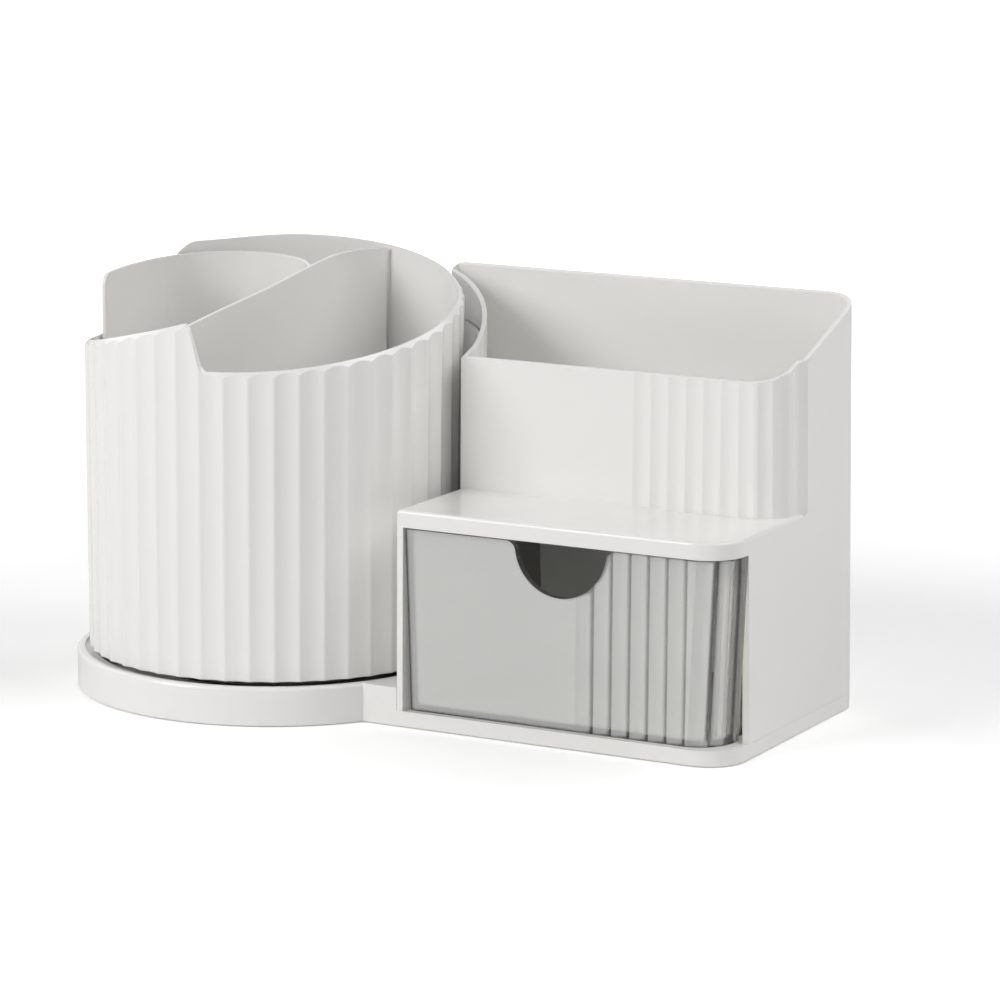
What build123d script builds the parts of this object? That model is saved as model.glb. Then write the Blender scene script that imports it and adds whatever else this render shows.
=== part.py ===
"""Rotating make-up organiser.

A fluted drum turns on a round dish. Beside it stands a cabinet with a clear drawer under a
shelf, and an upper bin set back behind the shelf. Millimetres, +Z up. The drum's axis lies on
y = 0, the front faces -Y, and the origin is under the middle of the whole object.
"""

from build123d import *

import os
from math import asin, cos, degrees, hypot, pi, radians, sin, sqrt

os.makedirs("parts", exist_ok=True)

# ---- Driving dimensions ----

# base: dish, plinth and floor plate
dish_radius = 66.6
dish_height = 13.0  # top of the dish lip and of the plinth
dish_step = 0.9  # the lip's inner step under the drum's edge
dish_step_width = 2.6
dish_pocket_inset = 6.2
dish_floor_top = 4.6
plate_top = 5.4  # floor plate under the cabinet
skirt_wall = 2.2
foot_standout = 0.4  # feet lift the mouldings off the table
underside_floor = 2.4  # underside of the floors, inside the skirt
lip_round = 1.3

# drum
drum_radius = 62.5  # over the ridges, at the bottom
drum_flare = 0.8  # how much wider the top is
drum_bottom = 13.9
drum_wall = 1.1  # behind the deepest point of a flute
drum_floor = 2.2
flute_count = 48
flute_depth = 0.75
flute_bearing = 0.5  # bearing of one ridge, degrees from the front

# rim of the drum: heights, and the bearings where its ramps start and end
ramp_a_low, ramp_a_start, ramp_a_end = 115.1, 10.0, 202.0
rim_peak = 143.6
knee_bearing, knee_height = 236.0, 142.0  # the rim sinks slowly to here, then drops
drop_end = 266.0
ramp_b_low, ramp_b_start = 115.2, 283.0
ramp_b_end, ramp_b_high = 363.5, 130.3
ramp_b_power = 1.6  # the second ramp gets steeper as it climbs
ridge_trim = 1.3  # slope at which the ridges run out under the rim

# divider insert
divider_wall = 1.2
divider_clearance = 0.3
divider_front, divider_middle, divider_crest = 126.2, 134.8, 138.3
divider_crest_y, divider_back = 24.0, 140.8
divider_dip_y, divider_dip = -34.0, 130.9
divider_front_turn = 53.6  # the wall bends to meet the shell beyond this distance
front_tangent_bearing = -5.0
back_joint_bearing = 171.0
back_flare_start = 36.0
arch_free_end, arch_leaves_wall = 284.0, 250.0
arch_top_low, arch_top_high = 135.8, 138.9
arch_rise_run = 50.0  # distance over which its top rises from the low to the high value
arch_apex = (-34.0, 39.3)
arch_meets_main = 23.0
arch_end_round = 4.0

# cabinet
drum_gap = 5.3  # drum to the cabinet's straight left wall
guard_wall = 1.2
guard_stand_off = 5.0  # drum to the inside of the guard that curves round it
guard_clearance = 0.4  # guard to the cabinet's concave wall
guard_front_top = 115.8
guard_slope = 0.07  # its top rises towards the back
guard_end_bearing = 146.0
cab_width = 117.9  # at the bottom; the right side leans in as it rises
side_lean = 0.0175
cab_depth = 103.9
wall = 2.1
cab_corner = 13.0
cab_back_corner = 11.0
cab_blend = 12.0  # where the left side runs into the concave wall
tail_width = 6.3  # rounded end of the cabinet behind the drum
tail_pocket_width = 3.0
deck_top = 71.6
deck_thickness = 2.4
opening_top = 66.0
opening_wrap = 15.5  # how far the opening runs back round the corner
deck_round = 1.0

# upper bin
bin_wall = 1.6
bin_setback = 42.5
bin_corner = 12.5
bin_front_top = 115.0
bin_back_top = 137.0
bin_recess = 1.8  # fluted corner stands in from the cabinet's side
bin_side_start = 57.9  # smooth side begins, from the cabinet's front
drawer_flute_pitch = 6.45
panel_flute_depth = 0.75  # on the drawer
bin_flute_depth = 0.6
bin_flute_start = 63.0  # first ridge, from the cabinet's left side
bin_flute_count = 10

# drawer
drawer_clearance = 0.3  # above and beside the front panel
drawer_lift = 0.6  # under the drawer
drawer_edge = 0.8  # rounding of the front panel's edges
drawer_side_clearance = 0.6
drawer_draft = 2.2  # how far each side leans in, top to bottom
drawer_wall = 1.9
drawer_panel = 2.8
corner_thickening = 1.5  # extra wall inside the fluted corner
drawer_floor = 2.0
drawer_length = 91.3
drawer_flute_start = 64.5
drawer_flute_count = 9
notch_x = 58.6  # from the cabinet's left side
notch_radius = 16.0
notch_depth = 16.9
notch_round = 3.5
drawer_travel = 75.0
stop_tab_height = 2.4
stop_width = 40.0
stop_thickness = 2.0
bumper_radius = 4.0
bumper_x = 36.0  # each side of the middle
bumper_thickness = 1.6
bumper_height = 24.0  # above the floor plate

# turntable bearing
race_web = 1.3
race_gap = 1.4  # between the two rings, at the balls
race_plate = 1.5
track_radius = 38.0
track_width = 10.0
ball_radius = 2.5
ball_count = 16
ball_clearance = 0.05
groove_clearance = 0.15
cage_thickness = 0.8
cage_width = 8.0
inner_flange_radius = 26.0
outer_flange_radius = 50.0
inner_screw_radius = 29.5
outer_screw_radius = 46.5
race_screw_count = 3
race_screw_radius = 1.25
race_screw_head = 2.5
race_screw_head_height = 1.4
race_screw_length = 4.4
thread_clearance = 0.1

# hub and spindle screw
hub_radius = 7.0
hub_clearance = 0.07
collar_wall = 3.0
collar_top = 10.0
hub_well_radius = 13.0
hub_well_top = 5.4  # ceiling of the well under the dish
hub_lift = 0.3
hub_chamfer = 0.4
washer_thickness = 1.0
washer_radius = 10.5
spindle_radius = 1.9
spindle_head_radius = 4.0
spindle_head_height = 2.0
spindle_length = 9.0
under_rib_width = 1.4
under_rib_drop = 1.6

seat_gap = 0.1  # between mouldings that stand side by side

# feet and cabinet screws
foot_radius = 6.0
dish_foot_inset = 12.6
foot_inset = 14.0
foot_chamfer = 0.6
bumper_chamfer = 0.4
cab_screw_radius = 1.5
cab_screw_head = 2.6
cab_screw_head_height = 1.4
cab_screw_length = 12.0
cab_boss_radius = 5.0
cab_boss_height = 14.0
cab_boss_inset = 6.8
guide_width = 1.8
guide_height = 6.0

# ---- Places that follow from them ----

cab_offset = drum_radius + drum_gap  # drum axis to the cabinet's left side
length = dish_radius + cab_offset + cab_width
drum_x = dish_radius - length / 2
cab_left = drum_x + cab_offset
cab_right = length / 2
cab_back = dish_radius
cab_front = cab_back - cab_depth
guard_radius = drum_radius + guard_stand_off
concave_radius = guard_radius + guard_wall + guard_clearance
dish_pocket_radius = dish_radius - dish_pocket_inset
dish_step_radius = dish_radius - dish_step_width
bin_front = cab_front + bin_setback
side_front = cab_front + bin_side_start
drawer_top = opening_top - drawer_clearance
drawer_bottom = plate_top + drawer_lift
drawer_back = cab_front + drawer_length
wrap_back = cab_front + opening_wrap - drawer_clearance
drum_inner = drum_radius - flute_depth - drum_wall
drum_floor_top = drum_bottom + drum_floor
drum_lean = drum_flare / (rim_peak - drum_bottom)
ball_z = dish_floor_top + race_web + ball_clearance + ball_radius
bearing_top = ball_z + ball_radius + ball_clearance + race_web
hub_bottom = hub_well_top - hub_lift
tall = rim_peak + 20  # above every rim


def ease(start, end, t):
    """Height that leaves one level and settles at another, for t from 0 to 1."""
    return start + (end - start) * (1 - cos(pi * t)) / 2


def round_drum(radius, bearing, z=0.0):
    """Point at a bearing in degrees from the front, counterclockwise seen from above."""
    return (drum_x + radius * sin(radians(bearing)), -radius * cos(radians(bearing)), z)


def cutter_circle(pitch, depth):
    """Radius of the circle that cuts a flute of this pitch and depth."""
    return (pitch**2 / 4 + depth**2) / (2 * depth)


def side_at(z):
    """Place of the cabinet's right side at a height."""
    return cab_right - side_lean * (z - plate_top)


def cabinet_plan(inset=0.0, tail=tail_width, z=plate_top):
    """Plan of the cabinet: straight front and left side, concave behind the drum."""
    left, right = cab_left + inset, side_at(z) - inset
    front, back = cab_front + inset, cab_back - inset
    radius = concave_radius + inset
    arc_start = (left, sqrt(radius**2 - (left - drum_x) ** 2))
    arc_end = (drum_x + sqrt(radius**2 - (back - tail) ** 2), back - tail)
    corner, back_corner = cab_corner - inset, cab_back_corner - inset
    with BuildSketch() as plan:
        with BuildLine():
            Line((left, front), (right - corner, front))
            TangentArc((right - corner, front), (right, front + corner), tangent=(1, 0))
            Line((right, front + corner), (right, back - back_corner))
            TangentArc((right, back - back_corner), (right - back_corner, back), tangent=(0, 1))
            Line((right - back_corner, back), (arc_end[0], back))
            Line((arc_end[0], back), arc_end)
            RadiusArc(arc_end, arc_start, radius)
            Line(arc_start, (left, front))
        make_face()
        tail_corners = plan.vertices().sort_by(Axis.X)[:2]
        fillet(tail_corners, tail * 0.45)
        fillet(plan.vertices().sort_by_distance(Vertex(*arc_start, 0))[:1], cab_blend + inset)
    return plan.sketch


def bin_plan(inset, tail, z):
    """Plan inside the upper bin: the cabinet's, set back, with a recessed front corner."""
    recess = side_at(z) - bin_recess - inset
    front = bin_front + inset
    corner = bin_corner - inset
    with BuildSketch() as plan:
        add(cabinet_plan(inset, tail, z))
        with Locations((cab_left, front)):
            Rectangle(2 * cab_width, cab_depth, align=(Align.CENTER, Align.MAX), mode=Mode.SUBTRACT)
        with Locations((recess, side_front + inset)):
            Rectangle(cab_width, cab_depth, align=(Align.MIN, Align.MAX), mode=Mode.SUBTRACT)
        fillet(plan.vertices().group_by(Axis.Y)[0].sort_by(Axis.X)[-1:], corner)
    return plan.sketch


def shelf_plan(z):
    """Plan of the open space over the shelf, in front of the bin and beside its front corner."""
    with BuildSketch() as plan:
        with Locations((cab_left - cab_width / 2, side_front)):
            Rectangle(2 * cab_width, cab_depth, align=(Align.MIN, Align.MAX))
        with Locations((side_at(z) - bin_recess, bin_front)):
            Rectangle(2 * cab_width, cab_depth, align=(Align.MAX, Align.MIN), mode=Mode.SUBTRACT)
        fillet(plan.vertices().sort_by_distance(Vertex(side_at(z) - bin_recess, bin_front, 0))[:1],
               bin_corner)
    return plan.sketch


def base_plan(inset=0.0):
    """Plan of the base: the dish, and the plate that runs under the cabinet."""
    back, front, right = cab_back - inset, cab_front + inset, cab_right - inset
    with BuildSketch() as plan:
        with Locations((right, back)):
            Rectangle(right - drum_x, back - front, align=(Align.MAX, Align.MAX))
        right_corners = plan.vertices().group_by(Axis.X)[-1].sort_by(Axis.Y)
        fillet(right_corners[:1], cab_corner - inset)
        fillet(plan.vertices().group_by(Axis.Y)[-1].sort_by(Axis.X)[-1:], cab_back_corner - inset)
        with Locations((drum_x, 0)):
            Circle(dish_radius - inset)
    return plan.sketch


def leaning(plan, low, high, inset=0.0, tail=tail_width):
    """Solid between two heights over a plan whose right side leans in as it rises."""
    with BuildPart() as body:
        for z in (low, high):
            with BuildSketch(Plane.XY.offset(z)):
                add(plan(inset, tail, z))
        loft(ruled=True)
    return body.part


def flute_places(start, count, corner_start, corner_radius, front_line, pitch, depth):
    """Centres of the flute cutters along a straight front and round its right corner."""
    stand_off = cutter_circle(pitch, depth) - depth
    quarter = corner_radius * pi / 2
    places = []
    for index in range(count):
        past = start + (index + 0.5) * pitch - corner_start
        if past <= 0:
            places.append((corner_start + past, front_line - stand_off))
        elif past <= quarter:
            turn, reach = past / corner_radius, corner_radius + stand_off
            places.append((corner_start + reach * sin(turn),
                           front_line + corner_radius - reach * cos(turn)))
        else:
            places.append((corner_start + corner_radius + stand_off,
                           front_line + corner_radius + past - quarter))
    return places


def flute_cutters(places, corner_start, radius, low, high, lean):
    """Cutters that are upright on the flat front and lean with the corner where they go round it."""
    flat = [place for place in places if place[0] < corner_start]
    curved = [place for place in places if place[0] >= corner_start]
    with BuildPart() as cutters:
        for group, drift in ((flat, 0.0), (curved, lean)):
            with BuildSketch(Plane.XY.offset(low)):
                with Locations(*group):
                    Circle(radius)
            extrude(amount=hypot(drift, high - low), dir=(drift, 0, high - low))
    return cutters.part


def above_slope(front, front_height, back, back_height):
    """Side view of all that lies above a line that rises from front to back."""
    slope = (back_height - front_height) / (back - front)
    far = length
    with BuildSketch(Plane.YZ) as side:
        with BuildLine():
            Polyline((front - far, front_height - slope * far), (back + far, back_height + slope * far),
                     (back + far, tall + slope * far), (front - far, tall + slope * far), close=True)
        make_face()
    return side.sketch


dish_feet = [round_drum(dish_radius - dish_foot_inset, bearing) for bearing in (-60, 60, 180)]
cab_feet = [
    (cab_left + foot_inset, cab_front + foot_inset, 0),
    (cab_right - foot_inset, cab_front + foot_inset, 0),
    (cab_right - foot_inset, cab_back - foot_inset, 0),
]
feet = dish_feet + cab_feet
boss_row = cab_back - cab_boss_inset
cab_screws = [
    (cab_right - cab_boss_inset, boss_row, 0),
    ((cab_left + cab_right) / 2, boss_row, 0),
    (cab_left - cab_boss_inset, boss_row, 0),
]
drum_axis = (drum_x, 0, 0)
outer_screws = [round_drum(outer_screw_radius, 30 + 360 * k / race_screw_count)
                for k in range(race_screw_count)]
inner_screws = [round_drum(inner_screw_radius, 90 + 360 * k / race_screw_count)
                for k in range(race_screw_count)]

# ---- Base: dish, plinth, floor plate and the guard round the drum ----

guard_start = 180 - degrees(asin((cab_offset - guard_clearance) / (guard_radius + guard_wall)))
guard_line = CenterArc(drum_axis, guard_radius + guard_wall / 2, guard_start - 90,
                       guard_end_bearing - guard_start)

with BuildPart() as base:
    with BuildSketch(Plane.XY.offset(foot_standout)):
        add(base_plan())
    extrude(amount=plate_top - foot_standout)
    with BuildSketch(Plane.XY.offset(plate_top)):
        add(base_plan())
        add(cabinet_plan(-seat_gap), mode=Mode.SUBTRACT)
    extrude(amount=dish_height - plate_top)
    rim_edges = base.edges().filter_by_position(Axis.Z, dish_height, dish_height)
    fillet(rim_edges.filter_by(lambda e: e.distance_to(Vertex(*round_drum(dish_radius, -90, dish_height)))
                               < 0.01), lip_round)
    # the lip: a pocket for the turntable, and a step under the drum's edge
    with BuildSketch(Plane.XY.offset(dish_floor_top)):
        with Locations(drum_axis):
            Circle(dish_pocket_radius)
    extrude(amount=dish_height, mode=Mode.SUBTRACT)
    with BuildSketch(Plane.XY.offset(dish_height - dish_step)):
        with Locations(drum_axis):
            Circle(dish_step_radius)
    extrude(amount=dish_height, mode=Mode.SUBTRACT)
    # hollow underside, and the lip cored out from below
    with BuildSketch(Plane.XY.offset(foot_standout)):
        add(base_plan(skirt_wall))
    extrude(amount=underside_floor - foot_standout, mode=Mode.SUBTRACT)
    with BuildSketch(Plane.XY.offset(underside_floor)):
        add(base_plan(skirt_wall))
        add(cabinet_plan(-skirt_wall), mode=Mode.SUBTRACT)
        with Locations(drum_axis):
            Circle(dish_pocket_radius + skirt_wall, mode=Mode.SUBTRACT)
    extrude(amount=dish_height - dish_step - skirt_wall - underside_floor, mode=Mode.SUBTRACT)
    # ribs and screw bosses under the dish
    with BuildSketch(Plane.XY.offset(foot_standout)):
        with Locations(drum_axis):
            with PolarLocations(hub_well_radius, 6):
                Rectangle(dish_radius - hub_well_radius - skirt_wall / 2, under_rib_width,
                          align=(Align.MIN, Align.CENTER))
            Circle(hub_well_radius + skirt_wall)
        with Locations(*inner_screws):
            Circle(race_screw_radius + skirt_wall)
    extrude(amount=underside_floor - foot_standout)
    # hub well with its collar, then the bearing hole through both
    with BuildSketch(Plane.XY.offset(dish_floor_top)):
        with Locations(drum_axis):
            Circle(hub_well_radius + skirt_wall)
    extrude(amount=hub_well_top + skirt_wall - dish_floor_top)
    with BuildSketch(Plane.XY.offset(dish_floor_top)):
        with Locations(drum_axis):
            Circle(hub_radius + hub_clearance + collar_wall)
    extrude(amount=collar_top - dish_floor_top)
    with BuildSketch(Plane.XY.offset(foot_standout)):
        with Locations(drum_axis):
            Circle(hub_well_radius)
    extrude(amount=hub_well_top - foot_standout, mode=Mode.SUBTRACT)
    with BuildSketch():
        with Locations(drum_axis):
            Circle(hub_radius + hub_clearance)
        with Locations(*inner_screws):
            Circle(race_screw_radius + thread_clearance)
        with Locations(*cab_screws):
            Circle(cab_screw_radius + thread_clearance)
    extrude(amount=dish_height, mode=Mode.SUBTRACT)
    # guard behind the drum, with round ends
    with BuildSketch(Plane.XY.offset(dish_height - dish_step)):
        SlotArc(guard_line, guard_wall)
    extrude(amount=tall - dish_height)
    extrude(above_slope(bin_front, guard_front_top, bin_front + 1, guard_front_top + guard_slope),
            amount=length, both=True, mode=Mode.SUBTRACT)
    # low rail that leads the drawer where the cabinet's wall curves away
    with BuildSketch(Plane.XY.offset(plate_top)):
        with Locations((cab_left + wall, bin_front)):
            Rectangle(guide_width, drawer_back - bin_front, align=(Align.MIN, Align.MIN))
    extrude(amount=guide_height)
base.part.label = "base"

# ---- Cabinet: drawer bay, shelf and upper bin ----

bin_quarter = bin_corner * pi / 2
bin_corner_start = side_at(deck_top) - bin_recess - bin_corner
bin_flute_end = (bin_corner_start - cab_left - bin_corner + bin_quarter
                 + bin_side_start - bin_setback)
bin_flute_pitch = (bin_flute_end - bin_flute_start) / bin_flute_count
bin_flutes = flute_places(cab_left + bin_flute_start, bin_flute_count, bin_corner_start, bin_corner,
                          bin_front, bin_flute_pitch, bin_flute_depth)
stop_face = drawer_back - drawer_wall - drawer_travel - drawer_clearance
stop_z = drawer_top + drawer_clearance + 0.5
cab_middle = (cab_left + cab_right) / 2
bumper_face = drawer_back + drawer_clearance
bumpers = [(cab_middle + side * bumper_x, bumper_face + bumper_thickness) for side in (-1, 1)]



def shelf_rim(point):
    """Whether a point lies on the shelf's outer edge, and not where the bin's wall stands."""
    by_front = point.Y < cab_front + cab_corner
    return by_front or abs(point.X - cab_left) < 0.01 or abs(point.X - side_at(deck_top)) < 0.01


with BuildPart() as cabinet:
    add(leaning(cabinet_plan, plate_top, tall))
    for z in (deck_top, tall):
        with BuildSketch(Plane.XY.offset(z)):
            add(shelf_plan(z))
    loft(ruled=True, mode=Mode.SUBTRACT)
    shelf = cabinet.faces().filter_by_position(Axis.Z, deck_top - 0.01, deck_top + 0.01)[0]
    fillet(shelf.edges().filter_by(lambda e: shelf_rim(e @ 0.5)), deck_round)
    add(leaning(cabinet_plan, plate_top, deck_top - deck_thickness, wall, tail_pocket_width),
        mode=Mode.SUBTRACT)
    # opening for the drawer, in the front and round the corner
    with BuildSketch(Plane.XY.offset(plate_top)):
        with Locations((cab_left + wall, cab_front + opening_wrap)):
            Rectangle(2 * cab_width, cab_depth, align=(Align.MIN, Align.MAX))
    extrude(amount=opening_top - plate_top, mode=Mode.SUBTRACT)
    # upper bin, open at the top
    add(leaning(bin_plan, deck_top, tall, bin_wall, tail_pocket_width), mode=Mode.SUBTRACT)
    add(flute_cutters(bin_flutes, bin_corner_start, cutter_circle(bin_flute_pitch, bin_flute_depth),
                      deck_top, tall, side_at(tall) - side_at(deck_top)), mode=Mode.SUBTRACT)
    extrude(above_slope(bin_front, bin_front_top, cab_back, bin_back_top), amount=length, both=True,
            mode=Mode.SUBTRACT)
    # screw bosses, bumper blocks and the rib that stops the drawer
    with BuildSketch(Plane.XY.offset(plate_top)):
        with Locations(*cab_screws):
            Circle(cab_boss_radius)
            Circle(cab_screw_radius + thread_clearance, mode=Mode.SUBTRACT)
    extrude(amount=cab_boss_height)
    with BuildSketch(Plane.XY.offset(plate_top)):
        with Locations(*bumpers):
            Rectangle(2 * bumper_radius, cab_back - wall - bumper_face - bumper_thickness,
                      align=(Align.CENTER, Align.MIN))
    extrude(amount=bumper_height + bumper_radius)
    with BuildSketch(Plane.XY.offset(stop_z)):
        with Locations((cab_middle, stop_face)):
            Rectangle(stop_width, stop_thickness, align=(Align.CENTER, Align.MAX))
    extrude(amount=deck_top - deck_thickness - stop_z)
cabinet.part.label = "cabinet"

# ---- Drawer: a clear tray with a fluted corner and a finger notch ----

drawer_left = cab_left + wall + drawer_side_clearance
drawer_right = side_at(drawer_top)
drawer_side = drawer_right - wall - drawer_side_clearance
drawer_height = drawer_top - drawer_bottom
drawer_corner_start = drawer_right - drawer_draft - cab_corner
drawer_flutes = flute_places(cab_left + drawer_flute_start, drawer_flute_count,
                             drawer_corner_start, cab_corner, cab_front,
                             drawer_flute_pitch, panel_flute_depth)


def tray_section(left, right, low, y):
    """Cross-section that leans in towards the bottom, on a plane that faces the back."""
    lean = drawer_draft * (drawer_top - low) / drawer_height
    with BuildSketch(Plane((0, y, 0), x_dir=(-1, 0, 0), z_dir=(0, 1, 0))) as section:
        with BuildLine():
            Polyline((-left - lean, low), (-left, drawer_top), (-right, drawer_top),
                     (-right + lean, low), close=True)
        make_face()
    return section.sketch


with BuildPart() as tray_hollow:
    extrude(tray_section(drawer_left + drawer_wall, drawer_side - drawer_wall,
                         drawer_bottom + drawer_floor, cab_front + drawer_panel),
            amount=drawer_length - drawer_panel - drawer_wall)
    upright = tray_hollow.edges().filter_by(lambda e: abs(e.tangent_at(0.5).Z) > 0.9)
    fillet(upright.filter_by_position(Axis.Y, cab_front, cab_middle).sort_by(Axis.X)[-1:],
           cab_corner - drawer_panel - corner_thickening)

with BuildPart() as drawer_tray:
    extrude(tray_section(drawer_left, drawer_side, drawer_bottom, cab_front), amount=drawer_length)
    extrude(tray_section(drawer_left, drawer_right, drawer_bottom, cab_front),
            amount=opening_wrap - drawer_clearance)
    upright = drawer_tray.edges().filter_by(lambda e: e.length > 0.9 * drawer_height)
    fillet(upright.filter_by_position(Axis.Y, cab_front - 1, cab_front + 1).sort_by(Axis.X)[-1:],
           cab_corner)
    front_edges = drawer_tray.faces().sort_by(Axis.Y)[0].edges()
    fillet(front_edges.group_by(Axis.Z)[0] + front_edges.sort_by(Axis.X)[:1], drawer_edge)
    add(flute_cutters(drawer_flutes, drawer_corner_start,
                      cutter_circle(drawer_flute_pitch, panel_flute_depth),
                      drawer_bottom, drawer_top, drawer_draft), mode=Mode.SUBTRACT)
    add(tray_hollow.part, mode=Mode.SUBTRACT)
    # half-round finger notch with a rolled-over lip
    with BuildSketch(Plane.XZ.offset(-cab_front)) as notch:
        with Locations((cab_left + notch_x, drawer_top - notch_depth + notch_radius)):
            Circle(notch_radius)
        with Locations((cab_left + notch_x, drawer_top)):
            Rectangle(4 * notch_radius, 2 * notch_depth, align=(Align.CENTER, Align.MIN))
        mouth = notch.vertices().filter_by_position(Axis.Y, drawer_top - 0.01, drawer_top + 0.01)
        fillet(mouth.sort_by(Axis.X)[1:-1], notch_round)
    extrude(amount=-2 * drawer_panel, mode=Mode.SUBTRACT)
    # tab on the back wall that meets the cabinet's rib
    with BuildSketch(Plane.XY.offset(drawer_top)):
        with Locations((cab_middle, drawer_back)):
            Rectangle(stop_width / 2, drawer_wall, align=(Align.CENTER, Align.MAX))
    extrude(amount=stop_tab_height)
drawer_tray.part.label = "drawer_tray"

# ---- Drum: a fluted cup whose rim climbs in two ramps ----


def rim_height(bearing):
    """Height of the drum's rim at a bearing between the start of ramp A and one turn later."""
    full = ramp_a_start + 360
    if bearing <= ramp_a_end:
        return ease(ramp_a_low, rim_peak, (bearing - ramp_a_start) / (ramp_a_end - ramp_a_start))
    if bearing <= knee_bearing:
        return ease(rim_peak, knee_height, (bearing - ramp_a_end) / (knee_bearing - ramp_a_end))
    if bearing <= drop_end:
        return ease(knee_height, ramp_b_low, (bearing - knee_bearing) / (drop_end - knee_bearing))
    if bearing <= ramp_b_start:
        return ramp_b_low
    if bearing <= ramp_b_end:
        climb = (bearing - ramp_b_start) / (ramp_b_end - ramp_b_start)
        return ramp_b_low + (ramp_b_high - ramp_b_low) * climb**ramp_b_power
    return ease(ramp_b_high, ramp_a_low, (bearing - ramp_b_end) / (full - ramp_b_end))


def above_rim(start, end, steps, near, far, slope):
    """Solid above a strip between two radii that passes through the rim's line over the flutes."""
    bearings = [start + (end - start) * k / steps for k in range(steps + 1)]
    valley = drum_radius - flute_depth
    inner, outer = [
        Edge.make_spline([Vector(*round_drum(radius, b, rim_height(b) - slope * (radius - valley)))
                          for b in bearings])
        for radius in (near, far)
    ]
    return extrude(Face.make_surface_from_curves(inner, outer), amount=tall, dir=(0, 0, 1))


rim_stretches = [
    (ramp_a_start, ramp_a_end, 14),
    (ramp_a_end, knee_bearing, 4),
    (knee_bearing, drop_end, 8),
    (drop_end, ramp_b_start, 2),
    (ramp_b_start, ramp_b_end, 8),
    (ramp_b_end, ramp_a_start + 360, 6),
]
drum_reach = drum_radius + drum_flare + drum_wall
flute_cutter = cutter_circle(2 * pi * drum_radius / flute_count, flute_depth)
from_axis = (Align.CENTER, Align.CENTER, Align.MIN)



with BuildPart() as drum_shell:
    # a cone that widens upwards, with flutes that lean out with it
    with Locations((drum_x, 0, drum_bottom)):
        Cone(drum_radius, drum_radius + drum_lean * (tall - drum_bottom), tall - drum_bottom,
             align=from_axis)
    with Locations(drum_axis):
        with PolarLocations(drum_radius - flute_depth + flute_cutter - drum_lean * drum_bottom,
                            flute_count, start_angle=flute_bearing - 90 + 180 / flute_count):
            Cylinder(flute_cutter, 2 * tall, rotation=(0, degrees(drum_lean), 0), align=from_axis,
                     mode=Mode.SUBTRACT)
    with Locations((drum_x, 0, drum_floor_top)):
        Cone(drum_inner + drum_lean * drum_floor, drum_inner + drum_lean * (tall - drum_bottom),
             tall - drum_floor_top, align=from_axis, mode=Mode.SUBTRACT)
    for start, end, steps in rim_stretches:
        add(above_rim(start, end, steps, drum_inner - 3 * drum_wall, drum_reach, 0.0),
            mode=Mode.SUBTRACT)
        add(above_rim(start, end, steps, drum_inner, drum_reach, ridge_trim), mode=Mode.SUBTRACT)
    # seat for the upper race, and the hub that runs in the dish's collar
    with BuildSketch(Plane.XY.offset(bearing_top)):
        with Locations(drum_axis):
            Circle(outer_flange_radius)
            Circle(track_radius - track_width / 2, mode=Mode.SUBTRACT)
    extrude(amount=drum_bottom - bearing_top)
    with BuildSketch(Plane.XY.offset(hub_bottom)):
        with Locations(drum_axis):
            Circle(hub_radius)
    extrude(amount=drum_bottom - hub_bottom)
    hub_end = drum_shell.edges().filter_by(GeomType.CIRCLE).group_by(Axis.Z)[0]
    chamfer(hub_end, hub_chamfer)
    with BuildSketch(Plane.XY.offset(hub_bottom)):
        with Locations(drum_axis):
            Circle(spindle_radius + thread_clearance)
    extrude(amount=spindle_length, mode=Mode.SUBTRACT)
    with BuildSketch(Plane.XY.offset(bearing_top)):
        with Locations(*outer_screws):
            Circle(race_screw_radius + thread_clearance)
    extrude(amount=race_screw_length - race_plate + thread_clearance, mode=Mode.SUBTRACT)
    # stiffening webs between hub and race seat
    with BuildSketch(Plane.XY.offset(bearing_top)):
        with Locations(drum_axis):
            with PolarLocations(hub_radius / 2, 6, start_angle=30):
                Rectangle(track_radius - track_width / 2 - hub_radius / 2, under_rib_width,
                          align=(Align.MIN, Align.CENTER))
            Circle(hub_radius, mode=Mode.SUBTRACT)
    extrude(amount=drum_bottom - bearing_top)
drum_shell.part.label = "drum_shell"

# ---- Divider insert: an S-shaped wall with an arched second wall ----

line_radius = drum_inner - divider_clearance - divider_wall / 2
front_end = round_drum(line_radius, front_tangent_bearing)
back_end = round_drum(line_radius, back_joint_bearing)
arch_start = round_drum(line_radius, arch_free_end)
arch_leave = round_drum(line_radius, arch_leaves_wall)
insert_bottom = drum_floor_top


def below_profile(*points):
    """Side view of all that lies under a smooth line of (y, height) points."""
    with BuildSketch(Plane.YZ) as side:
        with BuildLine():
            Spline(*points)
            Polyline(points[-1], (points[-1][0], 0), (points[0][0], 0), points[0])
        make_face()
    return side.sketch


with BuildPart() as arch:
    with BuildSketch(Plane.XY.offset(insert_bottom)):
        with BuildLine():
            CenterArc(drum_axis, line_radius, arch_free_end - 90, arch_leaves_wall - arch_free_end)
            swing = TangentArc(arch_leave, (drum_x + arch_apex[0], arch_apex[1]),
                               tangent=(-cos(radians(arch_leaves_wall)),
                                        -sin(radians(arch_leaves_wall))))
            TangentArc(swing @ 1, (drum_x - divider_wall / 4, arch_meets_main), tangent=swing % 1)
        trace(line_width=divider_wall)
    extrude(amount=tall - insert_bottom)
    extrude(above_slope(arch_apex[1] - arch_rise_run, arch_top_low, arch_apex[1], arch_top_high),
            amount=length, both=True, mode=Mode.SUBTRACT)
    free_top = arch.edges().sort_by_distance(Vertex(arch_start[0], arch_start[1], arch_top_low))
    fillet(free_top[:1], arch_end_round)

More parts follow.
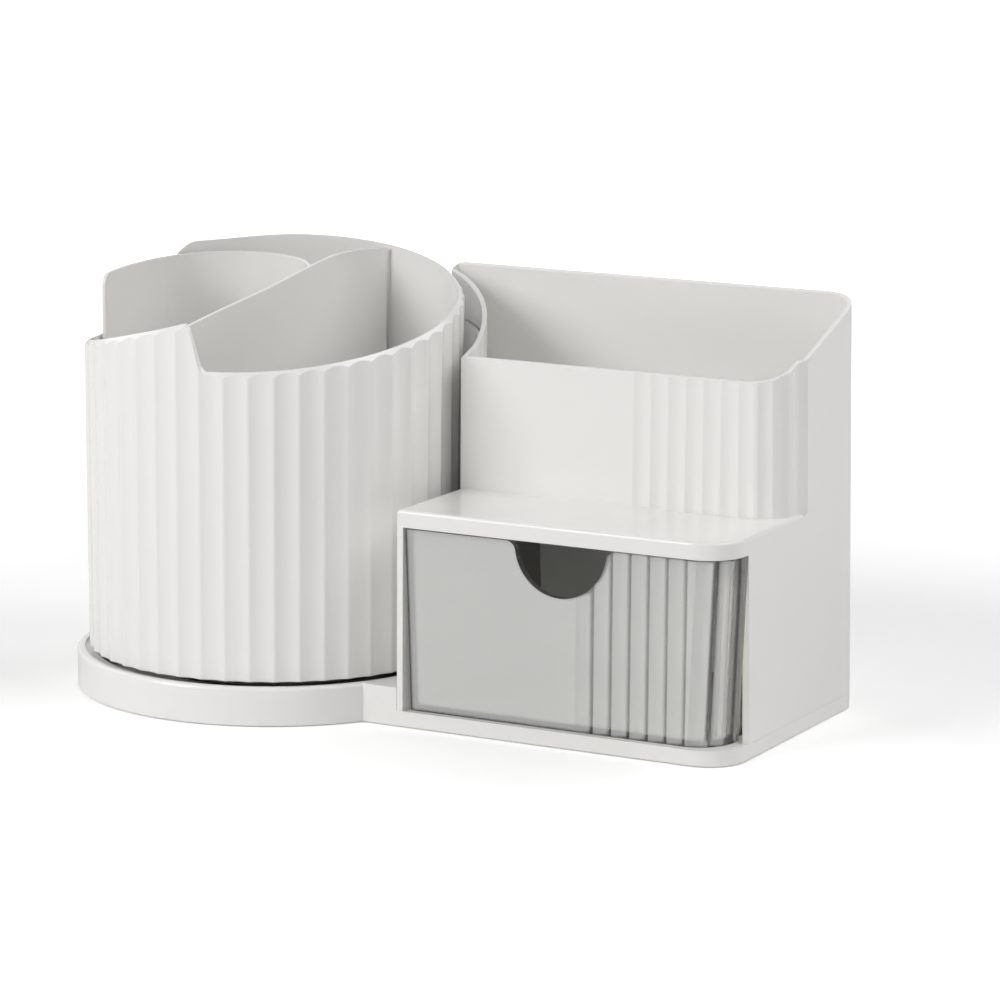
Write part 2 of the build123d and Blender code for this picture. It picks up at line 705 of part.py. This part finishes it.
with BuildPart() as divider_insert:
    with BuildSketch(Plane.XY.offset(insert_bottom)):
        with BuildLine():
            TangentArc(front_end, (drum_x, -divider_front_turn),
                       tangent=(cos(radians(front_tangent_bearing)), sin(radians(front_tangent_bearing))))
            Line((drum_x, -divider_front_turn), (drum_x, back_flare_start))
            TangentArc((drum_x, back_flare_start), back_end, tangent=(0, 1))
        trace(line_width=divider_wall)
    extrude(amount=tall - insert_bottom)
    main_top = below_profile((-dish_radius, divider_front), (divider_dip_y, divider_dip),
                             (0, divider_middle), (divider_crest_y, divider_crest),
                             (dish_radius, divider_back))
    extrude(main_top, amount=length, both=True, mode=Mode.INTERSECT)
    add(arch.part)
divider_insert.part.label = "divider_insert"

# ---- Turntable: two races, cage and balls ----


def race(track_low, track_high, groove_z, flange, flange_low, flange_high):
    """Ring with a ball groove and a flat flange beside it."""
    near, far = track_radius - track_width / 2, track_radius + track_width / 2
    with BuildPart() as ring:
        with BuildSketch(Plane((drum_x, 0, 0), x_dir=(1, 0, 0), z_dir=(0, -1, 0))):
            with Locations((near, track_low)):
                Rectangle(track_width, track_high - track_low, align=(Align.MIN, Align.MIN))
            with Locations((flange[0], flange_low)):
                Rectangle(flange[1] - flange[0], flange_high - flange_low, align=(Align.MIN, Align.MIN))
            with Locations((track_radius, groove_z)):
                Circle(ball_radius + groove_clearance, mode=Mode.SUBTRACT)
        revolve(axis=Axis((drum_x, 0, 0), (0, 0, 1)))
    return ring.part


track_near, track_far = track_radius - track_width / 2, track_radius + track_width / 2
ease_out = groove_clearance - ball_clearance

with BuildPart() as lower_race:
    add(race(dish_floor_top, ball_z - race_gap / 2, ball_z + ease_out,
             (inner_flange_radius, track_near + 0.5), dish_floor_top, dish_floor_top + race_plate))
    with BuildSketch():
        with Locations(*inner_screws):
            Circle(race_screw_radius + thread_clearance)
    extrude(amount=bearing_top, mode=Mode.SUBTRACT)
lower_race.part.label = "lower_race"

with BuildPart() as upper_race:
    add(race(ball_z + race_gap / 2, bearing_top, ball_z - ease_out,
             (track_far - 0.5, outer_flange_radius), bearing_top - race_plate, bearing_top))
    with BuildSketch():
        with Locations(*outer_screws):
            Circle(race_screw_radius + thread_clearance)
    extrude(amount=tall, mode=Mode.SUBTRACT)
upper_race.part.label = "upper_race"

with BuildPart() as ball_cage:
    with BuildSketch(Plane.XY.offset(ball_z - cage_thickness / 2)):
        with Locations(drum_axis):
            Circle(track_radius + cage_width / 2)
            Circle(track_radius - cage_width / 2, mode=Mode.SUBTRACT)
            with PolarLocations(track_radius, ball_count):
                Circle(ball_radius + groove_clearance, mode=Mode.SUBTRACT)
    extrude(amount=cage_thickness)
ball_cage.part.label = "ball_cage"

with BuildPart() as bearing_balls:
    with Locations((drum_x, 0, ball_z)):
        with PolarLocations(track_radius, ball_count):
            Sphere(ball_radius)
bearing_balls.part.label = "bearing_balls"

# ---- Screws, washer, feet and bumpers ----


def screw(place, seat, turn, head_radius, head_height, radius, shank):
    """Pan-head screw with a cross recess; turn is 1 for a shank that points up, -1 for down."""
    with BuildPart() as made:
        with BuildSketch(Plane.XY.offset(seat)):
            with Locations(place):
                Circle(radius)
        extrude(amount=turn * shank)
        with BuildSketch(Plane.XY.offset(seat)):
            with Locations(place):
                Circle(head_radius)
        extrude(amount=-turn * head_height)
        rims = made.edges().filter_by(GeomType.CIRCLE).sort_by(Axis.Z)
        chamfer(rims[0] if turn > 0 else rims[-1], head_height / 3)
        with BuildSketch(Plane.XY.offset(seat - turn * head_height)):
            with Locations(place):
                Rectangle(1.1 * head_radius, 0.28 * head_radius)
                Rectangle(0.28 * head_radius, 1.1 * head_radius)
        extrude(amount=turn * head_height / 2, mode=Mode.SUBTRACT)
    return made.part


pieces = [base, cabinet, drawer_tray, drum_shell, divider_insert, lower_race, upper_race, ball_cage,
          bearing_balls]

with BuildPart() as spindle_washer:
    with BuildSketch(Plane.XY.offset(hub_bottom - washer_thickness)):
        with Locations(drum_axis):
            Circle(washer_radius)
            Circle(spindle_radius + thread_clearance, mode=Mode.SUBTRACT)
    extrude(amount=washer_thickness)
spindle_washer.part.label = "spindle_washer"
pieces.append(spindle_washer)

with BuildPart() as spindle_screw:
    add(screw(drum_axis, hub_bottom - washer_thickness, 1, spindle_head_radius, spindle_head_height,
              spindle_radius, spindle_length))
spindle_screw.part.label = "spindle_screw"
pieces.append(spindle_screw)

for index in range(race_screw_count):
    with BuildPart() as lower_screw:
        add(screw(inner_screws[index], dish_floor_top + race_plate, -1, race_screw_head,
                  race_screw_head_height, race_screw_radius, race_screw_length))
    lower_screw.part.label = f"lower_race_screw_{index + 1}"
    with BuildPart() as upper_screw:
        add(screw(outer_screws[index], bearing_top - race_plate, 1, race_screw_head,
                  race_screw_head_height, race_screw_radius, race_screw_length))
    upper_screw.part.label = f"upper_race_screw_{index + 1}"
    pieces += [lower_screw, upper_screw]

for index, place in enumerate(cab_screws):
    with BuildPart() as cabinet_screw:
        add(screw(place, underside_floor, 1, cab_screw_head, cab_screw_head_height, cab_screw_radius,
                  cab_screw_length))
    cabinet_screw.part.label = f"cabinet_screw_{index + 1}"
    pieces.append(cabinet_screw)

for index, place in enumerate(feet):
    with BuildPart() as foot:
        with BuildSketch():
            with Locations(place):
                Circle(foot_radius)
        extrude(amount=underside_floor)
        chamfer(foot.edges().group_by(Axis.Z)[0], foot_chamfer)
    foot.part.label = f"foot_{index + 1}"
    pieces.append(foot)

for side, place in zip(("left", "right"), bumpers):
    with BuildPart() as bumper:
        with BuildSketch(Plane.XZ.offset(-place[1])):
            with Locations((place[0], plate_top + bumper_height)):
                Circle(bumper_radius)
        extrude(amount=bumper_thickness)
        chamfer(bumper.edges().group_by(Axis.Y)[0], bumper_chamfer)
    bumper.part.label = f"drawer_bumper_{side}"
    pieces.append(bumper)

for piece in pieces:
    print(piece.part.label, round(piece.part.volume), piece.part.is_valid, len(piece.part.solids()))
    export_step(piece.part, f"parts/{piece.part.label}.step")
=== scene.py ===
"""Rotating make-up organiser, dressed for the camera.

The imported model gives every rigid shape. This file gives each piece its finish, sets up a soft
white studio round the object and places the camera. Sizes are in metres unless a name says
millimetres, and angles are in degrees.
"""

from __future__ import annotations

import logging
from dataclasses import dataclass
from enum import Enum
from math import cos, radians, sin
from typing import Any

import bpy
from mathutils import Matrix, Vector

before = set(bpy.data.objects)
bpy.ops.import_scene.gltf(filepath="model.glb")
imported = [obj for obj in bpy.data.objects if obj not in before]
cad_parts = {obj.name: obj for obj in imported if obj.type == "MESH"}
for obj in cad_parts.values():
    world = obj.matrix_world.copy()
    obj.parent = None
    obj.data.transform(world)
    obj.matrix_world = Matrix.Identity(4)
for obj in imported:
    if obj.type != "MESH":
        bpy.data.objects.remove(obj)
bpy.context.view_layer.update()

log = logging.getLogger("organiser")

MM = 0.001
PURE_WHITE = "#FFFFFF"

# the sRGB curve: a straight toe, and a power above it
SRGB_TOE = 0.04045
SRGB_TOE_SLOPE = 12.92
SRGB_OFFSET = 0.055
SRGB_POWER = 2.4

# colour sockets of a Mix node, which has the same names again for plain numbers
MIX_FIRST = 6
MIX_SECOND = 7
MIX_RESULT = 2


class Grain(Enum):
    """Skin that the tool leaves on a moulding, with the height of its bumps in millimetres."""

    SATIN = 0.030
    POLISHED = 0.006


def linear(hex_colour: str) -> tuple[float, float, float, float]:
    """Turn an sRGB hex colour into the linear values that a shader takes.

    Args:
        hex_colour: Colour as "#RRGGBB".

    Returns:
        Linear red, green, blue and an alpha of one.
    """
    parts = [int(hex_colour[i:i + 2], 16) / 255 for i in (1, 3, 5)]
    red, green, blue = (
        p / SRGB_TOE_SLOPE if p <= SRGB_TOE else ((p + SRGB_OFFSET) / (1 + SRGB_OFFSET)) ** SRGB_POWER
        for p in parts
    )
    return (red, green, blue, 1.0)


def per_mm(size_mm: float) -> float:
    """Texture scale for a pattern whose features are this many millimetres wide."""
    return 1.0 / (size_mm * MM)


def add_node(
    tree: bpy.types.NodeTree,
    kind: str,
    settings: dict[str, Any] | None = None,
    links: dict[str, bpy.types.NodeSocket] | None = None,
) -> bpy.types.Node:
    """Add one node, set its properties and inputs, and link sockets into it.

    Args:
        tree: Node tree that receives the node.
        kind: Blender's identifier of the node type.
        settings: Property names or input names with their values.
        links: Input names with the output sockets that feed them.

    Returns:
        The new node.
    """
    node = tree.nodes.new(kind)
    for name, value in (settings or {}).items():
        if name in node.inputs:
            node.inputs[name].default_value = value
        else:
            setattr(node, name, value)
    for name, socket in (links or {}).items():
        tree.links.new(socket, node.inputs[name])
    return node


def blank_material(name: str) -> tuple[bpy.types.Material, bpy.types.NodeTree, bpy.types.Node]:
    """Make a material with an empty tree and its output.

    Args:
        name: Common name of the real material.

    Returns:
        The material, its node tree and the output node.
    """
    material = bpy.data.materials.new(name)
    material.use_nodes = True
    tree = material.node_tree
    tree.nodes.clear()
    return material, tree, add_node(tree, "ShaderNodeOutputMaterial")


@dataclass(frozen=True)
class MouldedPlastic:
    """Opaque injection-moulded plastic with a slight mottle and a tool grain.

    Attributes:
        name: Common name of the plastic.
        colour: Main colour.
        shade: Colour of the slightly darker clouds in it.
        grain: Skin that the tool leaves.
        roughness: Roughness of the skin.
        ior: How strongly it bends light.
        edge_mm: Radius to which the tool's sharp edges are broken.
        cloud_mm: Width of the clouds of colour.
        rub_mm: Width of the patches that handling has made shinier or duller.
        shinier: How far the roughness falls in the shiniest patch.
        duller: How far it rises in the dullest patch.
        grain_mm: Width of the grain as drawn.
        grain_strength: How much of the grain's height shows.
    """

    name: str
    colour: str
    shade: str
    grain: Grain
    roughness: float
    ior: float = 1.52
    edge_mm: float = 0.35
    cloud_mm: float = 45.0
    rub_mm: float = 15.0
    shinier: float = 0.05
    duller: float = 0.06
    grain_mm: float = 0.9
    grain_strength: float = 0.35

    def build(self) -> bpy.types.Material:
        """Build the material.

        Returns:
            The finished material.
        """
        material, tree, out = blank_material(self.name)
        place = add_node(tree, "ShaderNodeTexCoord")
        clouds = add_node(tree, "ShaderNodeTexNoise",
                          {"Scale": per_mm(self.cloud_mm), "Detail": 3.0, "Roughness": 0.5},
                          {"Vector": place.outputs["Object"]})
        tint = add_node(tree, "ShaderNodeMix", {"data_type": "RGBA"},
                        {"Factor": clouds.outputs["Fac"]})
        tint.inputs[MIX_FIRST].default_value = linear(self.colour)
        tint.inputs[MIX_SECOND].default_value = linear(self.shade)
        rub = add_node(tree, "ShaderNodeTexNoise",
                       {"Scale": per_mm(self.rub_mm), "Detail": 4.0, "Roughness": 0.6},
                       {"Vector": place.outputs["Object"]})
        gloss = add_node(tree, "ShaderNodeMapRange",
                         {"To Min": self.roughness - self.shinier,
                          "To Max": self.roughness + self.duller},
                         {"Value": rub.outputs["Fac"]})
        # real grain is about 0.1 mm; drawn coarser so that it shows at the photograph's scale
        skin = add_node(tree, "ShaderNodeTexNoise",
                        {"Scale": per_mm(self.grain_mm), "Detail": 2.0, "Roughness": 0.5},
                        {"Vector": place.outputs["Object"]})
        edge = add_node(tree, "ShaderNodeBevel", {"samples": 4, "Radius": self.edge_mm * MM})
        bump = add_node(tree, "ShaderNodeBump",
                        {"Strength": self.grain_strength, "Distance": self.grain.value * MM},
                        {"Height": skin.outputs["Fac"], "Normal": edge.outputs["Normal"]})
        shader = add_node(tree, "ShaderNodeBsdfPrincipled", {"IOR": self.ior},
                          {"Base Color": tint.outputs[MIX_RESULT],
                           "Roughness": gloss.outputs["Result"],
                           "Normal": bump.outputs["Normal"]})
        tree.links.new(shader.outputs["BSDF"], out.inputs["Surface"])
        return material


@dataclass(frozen=True)
class ClearPlastic:
    """Milky clear moulded plastic, painted darker where the surface turns away: partly smoke, partly
    painted shade.

    The turn values run from 0, where a surface faces the eye, to 1, where it is seen edge on.

    Attributes:
        name: Common name of the plastic.
        tint: Colour of the plastic where it is looked at squarely.
        roughness: Roughness of the polished skin.
        clearness: Share of the light that passes where it is looked at squarely.
        smoke_and_shade_tint: Darker colour painted where the plastic is looked along, partly smoke
            and partly painted shade.
        turn_start: Turn at which the smoke and painted shade begin to show.
        turn_end: Turn at which it shows most.
        turn_most: Share of the smoke and painted shade at that turn.
        rim_mm: Width of the band along an edge that counts as turned away, and so is painted darker
            as shade.
        edge_mm: Radius to which the tool's sharp edges are broken.
        ior: How strongly it bends light.
        ripple_mm: Width of the flow ripples in the skin.
        ripple_height_mm: Height of the ripples.
        ripple_strength: How much of that height shows.
        haze_spread: How far the ripples raise the roughness.
    """

    name: str
    tint: str
    roughness: float
    clearness: float
    smoke_and_shade_tint: str = "#94928D"
    turn_start: float = 0.19
    turn_end: float = 0.35
    turn_most: float = 0.95
    rim_mm: float = 2.2
    edge_mm: float = 0.3
    ior: float = 1.50
    ripple_mm: float = 14.0
    ripple_height_mm: float = 0.02
    ripple_strength: float = 0.12
    haze_spread: float = 0.05

    def build(self) -> bpy.types.Material:
        """Build the material.

        Returns:
            The finished material.
        """
        material, tree, out = blank_material(self.name)
        place = add_node(tree, "ShaderNodeTexCoord")
        ripple = add_node(tree, "ShaderNodeTexNoise",
                          {"Scale": per_mm(self.ripple_mm), "Detail": 2.0},
                          {"Vector": place.outputs["Object"]})
        haze = add_node(tree, "ShaderNodeMapRange",
                        {"To Min": self.roughness, "To Max": self.roughness + self.haze_spread},
                        {"Value": ripple.outputs["Fac"]})
        edge = add_node(tree, "ShaderNodeBevel", {"samples": 6, "Radius": self.edge_mm * MM})
        bump = add_node(tree, "ShaderNodeBump",
                        {"Strength": self.ripple_strength, "Distance": self.ripple_height_mm * MM},
                        {"Height": ripple.outputs["Fac"], "Normal": edge.outputs["Normal"]})
        haze_and_skin = {"Roughness": haze.outputs["Result"], "Normal": bump.outputs["Normal"]}
        milky = add_node(tree, "ShaderNodeBsdfPrincipled",
                         {"Base Color": linear(self.tint), "IOR": self.ior,
                          "Transmission Weight": self.clearness}, haze_and_skin)
        # a darker, smoky glass, mixed in where the surface turns away: painted shade as well as smoke
        smoky_shaded_glass = add_node(tree, "ShaderNodeBsdfPrincipled",
                        {"Base Color": linear(self.smoke_and_shade_tint), "IOR": self.ior,
                         "Transmission Weight": 1.0}, haze_and_skin)
        # painted shade: the tint darkens where the surface turns from the eye, partly the smoke of a
        # long path through the plastic and partly shade and dark reflections painted on the flutes
        # painted shade along edges: a wide rounding makes a band by each edge count as turned away,
        # so it darkens
        rim = add_node(tree, "ShaderNodeBevel", {"samples": 6, "Radius": self.rim_mm * MM})
        smoke_shade_steps = []
        for rounded in (edge, rim):
            turned = add_node(tree, "ShaderNodeLayerWeight", {"Blend": 0.5},
                              {"Normal": rounded.outputs["Normal"]})
            smoke_shade_steps.append(add_node(
                tree, "ShaderNodeMapRange",
                {"From Min": self.turn_start, "From Max": self.turn_end,
                 "To Max": self.turn_most, "interpolation_type": "SMOOTHSTEP"},
                {"Value": turned.outputs["Facing"]}))
        # the larger share of painted shade and smoke, from the edges or from the turned faces
        smoke_shade_share = add_node(tree, "ShaderNodeMath", {"operation": "MAXIMUM"})
        for index, smoke_shade_part in enumerate(smoke_shade_steps):
            tree.links.new(smoke_shade_part.outputs["Result"], smoke_shade_share.inputs[index])
        shader = add_node(tree, "ShaderNodeMixShader", links={"Fac": smoke_shade_share.outputs[0]})
        tree.links.new(milky.outputs["BSDF"], shader.inputs[1])
        tree.links.new(smoky_shaded_glass.outputs["BSDF"], shader.inputs[2])
        # lamps shine through it into the drawer bay, which glass alone would leave dark
        rays = add_node(tree, "ShaderNodeLightPath")
        passing = add_node(tree, "ShaderNodeBsdfTransparent", {"Color": linear(self.tint)})
        mix = add_node(tree, "ShaderNodeMixShader", links={"Fac": rays.outputs["Is Shadow Ray"]})
        tree.links.new(shader.outputs[0], mix.inputs[1])
        tree.links.new(passing.outputs["BSDF"], mix.inputs[2])
        tree.links.new(mix.outputs[0], out.inputs["Surface"])
        return material


@dataclass(frozen=True)
class PlatedSteel:
    """Bright steel: plated screws, or polished bearing balls.

    Attributes:
        name: Common name of the steel.
        colour: Main colour.
        roughness: Roughness where it is brightest.
        worn_colour: Colour of the duller marks.
        worn_spread: How far the marks raise the roughness.
        scratch_mm: Width of the marks as drawn.
    """

    name: str
    colour: str
    roughness: float
    worn_colour: str = "#A6A7A9"
    worn_spread: float = 0.15
    scratch_mm: float = 0.6

    def build(self) -> bpy.types.Material:
        """Build the material.

        Returns:
            The finished material.
        """
        material, tree, out = blank_material(self.name)
        place = add_node(tree, "ShaderNodeTexCoord")
        # real scratches are a few hundredths of a millimetre; drawn coarser so that they show
        marks = add_node(tree, "ShaderNodeTexNoise",
                         {"Scale": per_mm(self.scratch_mm), "Detail": 5.0},
                         {"Vector": place.outputs["Object"]})
        dull = add_node(tree, "ShaderNodeMapRange",
                        {"To Min": self.roughness, "To Max": self.roughness + self.worn_spread},
                        {"Value": marks.outputs["Fac"]})
        tint = add_node(tree, "ShaderNodeMix", {"data_type": "RGBA"},
                        {"Factor": marks.outputs["Fac"]})
        tint.inputs[MIX_FIRST].default_value = linear(self.colour)
        tint.inputs[MIX_SECOND].default_value = linear(self.worn_colour)
        shader = add_node(tree, "ShaderNodeBsdfPrincipled", {"Metallic": 1.0},
                          {"Base Color": tint.outputs[MIX_RESULT],
                           "Roughness": dull.outputs["Result"]})
        tree.links.new(shader.outputs["BSDF"], out.inputs["Surface"])
        return material


@dataclass(frozen=True)
class SoftRubber:
    """Moulded rubber with a matt, faintly dusty skin.

    Attributes:
        name: Common name of the rubber.
        colour: Main colour.
        dust_colour: Colour where dust clings.
        roughness: Roughness of the skin.
        ior: How strongly it bends light.
        grain_mm: Width of the grain as drawn.
        grain_height_mm: Height of the grain.
        grain_strength: How much of that height shows.
    """

    name: str
    colour: str
    dust_colour: str = "#9A9A97"
    roughness: float = 0.72
    ior: float = 1.52
    grain_mm: float = 0.7
    grain_height_mm: float = 0.03
    grain_strength: float = 0.3

    def build(self) -> bpy.types.Material:
        """Build the material.

        Returns:
            The finished material.
        """
        material, tree, out = blank_material(self.name)
        place = add_node(tree, "ShaderNodeTexCoord")
        # dust and grain are finer than 0.1 mm in truth; drawn coarser so that they show
        dust = add_node(tree, "ShaderNodeTexNoise",
                        {"Scale": per_mm(self.grain_mm), "Detail": 4.0},
                        {"Vector": place.outputs["Object"]})
        tint = add_node(tree, "ShaderNodeMix", {"data_type": "RGBA"},
                        {"Factor": dust.outputs["Fac"]})
        tint.inputs[MIX_FIRST].default_value = linear(self.colour)
        tint.inputs[MIX_SECOND].default_value = linear(self.dust_colour)
        bump = add_node(tree, "ShaderNodeBump",
                        {"Strength": self.grain_strength, "Distance": self.grain_height_mm * MM},
                        {"Height": dust.outputs["Fac"]})
        shader = add_node(tree, "ShaderNodeBsdfPrincipled",
                          {"Roughness": self.roughness, "IOR": self.ior},
                          {"Base Color": tint.outputs[MIX_RESULT],
                           "Normal": bump.outputs["Normal"]})
        tree.links.new(shader.outputs["BSDF"], out.inputs["Surface"])
        return material


# ABS, moulded in a satin tool: an even white with a soft, wide highlight
WHITE_ABS = MouldedPlastic("ABS, satin white", "#F3F2F0", "#EFEEEB", Grain.SATIN, 0.2)
# Polystyrene, polished tool: a pale milky grey with sharp reflections, painted darker along its edges
# and where it turns away, partly smoke and partly painted shade
SMOKE_STYRENE = ClearPlastic("Polystyrene, smoke clear", "#EDEDEB", 0.03, clearness=0.52)
# Acetal, natural: a waxy off-white with little grain
ACETAL = MouldedPlastic("Acetal, natural", "#DCDCD6", "#D2D2CC", Grain.POLISHED, 0.35)
# Bearing steel, ground and polished: small mirror-bright balls
BALL_STEEL = PlatedSteel("Bearing steel, polished", "#C9CACC", 0.08)
# Steel, zinc plated: a cool grey with a slightly blurred shine
ZINC_STEEL = PlatedSteel("Steel, zinc plated", "#B4B5B7", 0.28)
# Silicone rubber, moulded: matt grey with paler dust in its skin
GREY_RUBBER = SoftRubber("Silicone rubber, grey", "#8C8C89")


@dataclass(frozen=True)
class SubAssembly:
    """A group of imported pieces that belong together, and what each is made of.

    Attributes:
        name: What the group is.
        finishes: Material for each node of the group.
    """

    name: str
    finishes: dict[str, bpy.types.Material]

    def dress(self) -> int:
        """Give every node of the group its material.

        Returns:
            How many nodes were dressed.
        """
        for node, material in self.finishes.items():
            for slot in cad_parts[node].material_slots:
                slot.material = material
            log.info("%s: %s wears %s", self.name, node, material.name)
        return len(self.finishes)


@dataclass(frozen=True)
class SoftBox:
    """One square lamp, placed by its bearing as seen from the object.

    Attributes:
        name: Name of the lamp.
        azimuth: Degrees from straight in front, counted towards the right.
        elevation: Degrees above the floor.
        power: Strength in watts.
        side: Side of its face in metres.
        distance: How far it hangs from the point it faces, in metres.
    """

    name: str
    azimuth: float
    elevation: float
    power: float
    side: float = 1.0
    distance: float = 2.0

    def hang(self, aim: Vector) -> None:
        """Hang the lamp so that it faces a point.

        Args:
            aim: The point.
        """
        turn, lift = radians(self.azimuth), radians(self.elevation)
        towards = Vector((sin(turn) * cos(lift), -cos(turn) * cos(lift), sin(lift)))
        data = bpy.data.lights.new(self.name, "AREA")
        data.size, data.energy = self.side, self.power
        lamp = bpy.data.objects.new(self.name, data)
        lamp.location = aim + towards * self.distance
        lamp.rotation_euler = towards.to_track_quat("Z", "Y").to_euler()
        bpy.context.scene.collection.objects.link(lamp)
        log.info("lamp %s hangs", self.name)


@dataclass(frozen=True)
class Studio:
    """Floor, even light and soft boxes of a plain white studio.

    Attributes:
        boxes: The soft boxes.
        aim: Point that the soft boxes face.
        world_level: Strength of the even light from all round.
        paper: Colour of the floor's paper.
        floor_half: Half the side of the floor.
        glow_near: How much the camera sees the floor glow near the object.
        glow_far: The same far away from the object.
        fade_start: Distance from the origin at which the glow begins to rise.
        fade_end: Distance at which it has risen fully.
    """

    boxes: tuple[SoftBox, ...] = (
        SoftBox("key", -32, 28, 22.2),
        SoftBox("right", 90, 50, 12.5),
        SoftBox("low front", 32, 10, 3.0),
        SoftBox("back right", 140, 42, 9.0),
        SoftBox("back left", -100, 30, 5.0),
    )
    aim: tuple[float, float, float] = (0.0, 0.0, 0.07)
    world_level: float = 0.1
    paper: str = "#FAFAFA"
    floor_half: float = 6.0
    glow_near: float = 0.26
    glow_far: float = 1.2
    fade_start: float = 0.25
    fade_end: float = 1.3

    def build_world(self) -> None:
        """Light everything evenly, and show white behind the object."""
        world = bpy.data.worlds.new("Studio air")
        bpy.context.scene.world = world
        world.use_nodes = True
        tree = world.node_tree
        tree.nodes.clear()
        # the eye, a mirror and clear plastic see white; everything else is lit by the even light
        rays = add_node(tree, "ShaderNodeLightPath")
        seen = rays.outputs["Is Camera Ray"]
        for kind in ("Is Glossy Ray", "Is Transmission Ray"):
            either = add_node(tree, "ShaderNodeMath", {"operation": "MAXIMUM"})
            tree.links.new(seen, either.inputs[0])
            tree.links.new(rays.outputs[kind], either.inputs[1])
            seen = either.outputs[0]
        soft = add_node(tree, "ShaderNodeBackground",
                        {"Color": linear(PURE_WHITE), "Strength": self.world_level})
        white = add_node(tree, "ShaderNodeBackground",
                         {"Color": linear(PURE_WHITE), "Strength": 1.0})
        mix = add_node(tree, "ShaderNodeMixShader", links={"Fac": seen})
        tree.links.new(soft.outputs[0], mix.inputs[1])
        tree.links.new(white.outputs[0], mix.inputs[2])
        out = add_node(tree, "ShaderNodeOutputWorld")
        tree.links.new(mix.outputs[0], out.inputs["Surface"])

    def build_floor(self) -> None:
        """Lay the pale floor, which is stage and no piece of the object."""
        half = self.floor_half
        mesh = bpy.data.meshes.new("floor")
        mesh.from_pydata([(-half, -half, 0), (half, -half, 0), (half, half, 0), (-half, half, 0)],
                         [], [(0, 1, 2, 3)])
        floor = bpy.data.objects.new("floor", mesh)
        bpy.context.scene.collection.objects.link(floor)
        material, tree, out = blank_material("Seamless paper, white")
        diffuse = add_node(tree, "ShaderNodeBsdfDiffuse", {"Color": linear(self.paper)})
        rays = add_node(tree, "ShaderNodeLightPath")
        place = add_node(tree, "ShaderNodeTexCoord")
        away = add_node(tree, "ShaderNodeVectorMath", {"operation": "LENGTH"})
        tree.links.new(place.outputs["Object"], away.inputs[0])
        # paper lights up towards its far end, as a lit backdrop does, and keeps the shadow near by
        fade = add_node(tree, "ShaderNodeMapRange",
                        {"From Min": self.fade_start, "From Max": self.fade_end,
                         "To Min": self.glow_near, "To Max": self.glow_far},
                        {"Value": away.outputs["Value"]})
        lift = add_node(tree, "ShaderNodeMath", {"operation": "MULTIPLY"})
        tree.links.new(rays.outputs["Is Camera Ray"], lift.inputs[0])
        tree.links.new(fade.outputs["Result"], lift.inputs[1])
        glow = add_node(tree, "ShaderNodeEmission", {"Color": linear(PURE_WHITE)},
                        {"Strength": lift.outputs[0]})
        both = add_node(tree, "ShaderNodeAddShader")
        tree.links.new(diffuse.outputs[0], both.inputs[0])
        tree.links.new(glow.outputs[0], both.inputs[1])
        tree.links.new(both.outputs[0], out.inputs["Surface"])
        mesh.materials.append(material)

    def build(self) -> None:
        """Build the whole studio."""
        self.build_world()
        self.build_floor()
        for box in self.boxes:
            box.hang(Vector(self.aim))
        log.info("studio stands")


@dataclass(frozen=True)
class Viewpoint:
    """Camera that stands where the photographer's did.

    Attributes:
        place: Its position in metres.
        azimuth: Degrees that it looks left of straight back.
        pitch: Degrees that it looks down.
        roll: Degrees that it leans.
        lens: Focal length in millimetres.
        sensor: Width of the sensor in millimetres.
        nearest: Nearest distance that it sees, in metres.
        farthest: Farthest distance that it sees, in metres.
    """

    place: tuple[float, float, float] = (0.68005, -1.2385, 0.3447)
    azimuth: float = 27.847
    pitch: float = 11.088
    roll: float = 0.383
    lens: float = 157.53
    sensor: float = 36.0
    nearest: float = 0.05
    farthest: float = 50.0

    def build(self) -> None:
        """Make the camera and hand it to the scene."""
        az, down, lean = radians(self.azimuth), radians(self.pitch), radians(self.roll)
        ahead = Vector((-sin(az) * cos(down), cos(az) * cos(down), -sin(down)))
        right = Vector((cos(az), sin(az), 0.0))
        up = right.cross(ahead)
        right, up = right * cos(lean) + up * sin(lean), up * cos(lean) - right * sin(lean)
        data = bpy.data.cameras.new("photographer")
        data.lens, data.sensor_width = self.lens, self.sensor
        data.clip_start, data.clip_end = self.nearest, self.farthest
        camera = bpy.data.objects.new("photographer", data)
        camera.matrix_world = Matrix.Translation(self.place) @ Matrix(
            (right, up, -ahead)).transposed().to_4x4()
        bpy.context.scene.collection.objects.link(camera)
        bpy.context.scene.camera = camera
        log.info("camera stands")


def numbered(stem: str, count: int) -> list[str]:
    """Names of a set of like pieces, counted from one."""
    return [f"{stem}_{index + 1}" for index in range(count)]


def main() -> None:
    """Build the finishes, dress every sub-assembly and set up the studio."""
    logging.basicConfig(level=logging.INFO, format="%(name)s: %(message)s")
    bpy.context.scene.view_settings.view_transform = "Standard"
    white, smoke = WHITE_ABS.build(), SMOKE_STYRENE.build()
    acetal, balls = ACETAL.build(), BALL_STEEL.build()
    zinc, rubber = ZINC_STEEL.build(), GREY_RUBBER.build()
    fixings = ["spindle_washer", "spindle_screw", *numbered("lower_race_screw", 3),
               *numbered("upper_race_screw", 3), *numbered("cabinet_screw", 3)]
    soft_parts = [*numbered("foot", 6), "drawer_bumper_left", "drawer_bumper_right"]
    groups = [
        SubAssembly("housing", {"base": white, "cabinet": white}),
        SubAssembly("drawer", {"drawer_tray": smoke}),
        SubAssembly("drum", {"drum_shell": white, "divider_insert": white}),
        SubAssembly("turntable", {"lower_race": acetal, "upper_race": acetal,
                                  "ball_cage": acetal, "bearing_balls": balls}),
        SubAssembly("fixings", {name: zinc for name in fixings}),
        SubAssembly("feet and bumpers", {name: rubber for name in soft_parts}),
    ]
    dressed = sum(group.dress() for group in groups)
    log.info("%d pieces dressed", dressed)
    Studio().build()
    Viewpoint().build()


if __name__ == "__main__":
    main()
